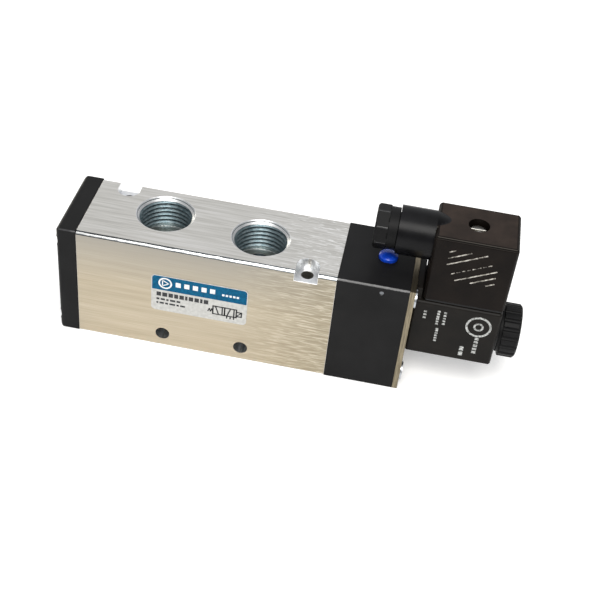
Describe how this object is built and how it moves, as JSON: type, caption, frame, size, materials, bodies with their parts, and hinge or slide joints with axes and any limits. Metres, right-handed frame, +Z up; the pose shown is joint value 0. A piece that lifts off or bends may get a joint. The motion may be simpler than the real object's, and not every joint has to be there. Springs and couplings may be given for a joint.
{
  "type": "solenoid directional valve",
  "caption": "Pneumatic solenoid directional valve: aluminium spool body with threaded ports, spring end cap, pilot block with push-button override, solenoid coil and plug connector.",
  "frame": {"origin": "centre of the pressure port's mouth, in the middle of the valve body's bottom face", "axes": "+X along the spool towards the solenoid, +Z up out of the service ports, +Y towards the back, away from the label"},
  "size_m": [0.1707, 0.0352, 0.069],
  "materials": {
    "body_aluminium": "brushed extrusion, clear anodised",
    "black_plastic": "moulded, fine grain",
    "seal_rubber": "smooth",
    "screw_steel": "zinc plated",
    "spool_aluminium": "turned, hard anodised",
    "spring_steel": "drawn wire",
    "white_plastic": "moulded",
    "blue_plastic": "moulded, glossy",
    "brass": "turned",
    "plate_aluminium": "blanked sheet",
    "stainless_steel": "drawn and polished",
    "magnetic_steel": "turned",
    "coil_plastic": "moulded thermoset, slight sheen",
    "copper": "enamelled wire",
    "tinned_brass": "tinned",
    "connector_plastic": "moulded, fine grain",
    "insert_plastic": "moulded",
    "nickel_screw": "nickel plated",
    "label_foil": "printed polyester foil"
  },
  "bodies": {
    "valve": {"valve_body": "body_aluminium", "end_cap": "black_plastic", "end_cap_seal": "seal_rubber", "end_cap_screws": "screw_steel", "return_spring": "spring_steel", "pilot_block": "black_plastic", "pilot_block_seal": "seal_rubber", "pilot_screws": "screw_steel", "override_spring": "spring_steel", "override_pin": "spring_steel", "orifice_seat": "brass", "adaptor_plate": "plate_aluminium", "armature_tube": "stainless_steel", "tube_seal": "seal_rubber", "fixed_core": "magnetic_steel", "plunger_spring": "spring_steel", "coil_housing": "coil_plastic", "coil_bobbin": "white_plastic", "coil_winding": "copper", "coil_yoke": "magnetic_steel", "coil_terminals": "tinned_brass", "coil_washer": "seal_rubber", "nameplate": "label_foil"},
    "spool": {"spool": "spool_aluminium", "spool_seals": "seal_rubber"},
    "pilot_piston": {"pilot_piston": "white_plastic", "piston_seal": "seal_rubber"},
    "override_button": {"override_button": "blue_plastic", "override_seal": "seal_rubber"},
    "plunger": {"plunger": "magnetic_steel", "plunger_seal": "seal_rubber"},
    "coil_nut": {"coil_nut": "black_plastic"},
    "connector": {"connector_housing": "connector_plastic", "connector_gasket": "seal_rubber", "terminal_insert": "insert_plastic", "terminal_clamps": "brass", "terminal_screws": "screw_steel", "connector_screw": "nickel_screw", "gland_washer": "stainless_steel", "gland_grommet": "seal_rubber"},
    "gland_nut": {"gland_nut": "connector_plastic"}
  },
  "joints": [
    {"name": "spool_slide", "type": "slide", "parent": "valve", "child": "spool", "axis": [-1, 0, 0], "range_m": [0, 0.007], "stiffness_N_per_m": 500, "springref_m": -0.005, "deforming": ["return_spring"]},
    {"name": "pilot_piston_slide", "type": "slide", "parent": "valve", "child": "pilot_piston", "axis": [-1, 0, 0], "range_m": [0, 0.007]},
    {"name": "override_press", "type": "slide", "parent": "valve", "child": "override_button", "axis": [0, 0, -1], "range_m": [0, 0.002], "stiffness_N_per_m": 250, "springref_m": -0.002, "deforming": ["override_spring"]},
    {"name": "plunger_slide", "type": "slide", "parent": "valve", "child": "plunger", "axis": [1, 0, 0], "range_m": [0, 0.0015], "stiffness_N_per_m": 300, "springref_m": -0.002, "deforming": ["plunger_spring"]},
    {"name": "coil_nut_turn", "type": "hinge", "parent": "valve", "child": "coil_nut", "pos_m": [0.112, 0, 0.0235], "axis": [1, 0, 0], "continuous": true},
    {"name": "connector_lift", "type": "slide", "parent": "valve", "child": "connector", "axis": [0, 0, 1], "range_m": [0, 0.015]},
    {"name": "gland_nut_turn", "type": "hinge", "parent": "connector", "child": "gland_nut", "pos_m": [0.06, 0, 0.0602], "axis": [1, 0, 0], "continuous": true}
  ],
  "couplings": [
    {"joint": "pilot_piston_slide", "follows": "spool_slide", "ratio": 1}
  ]
}
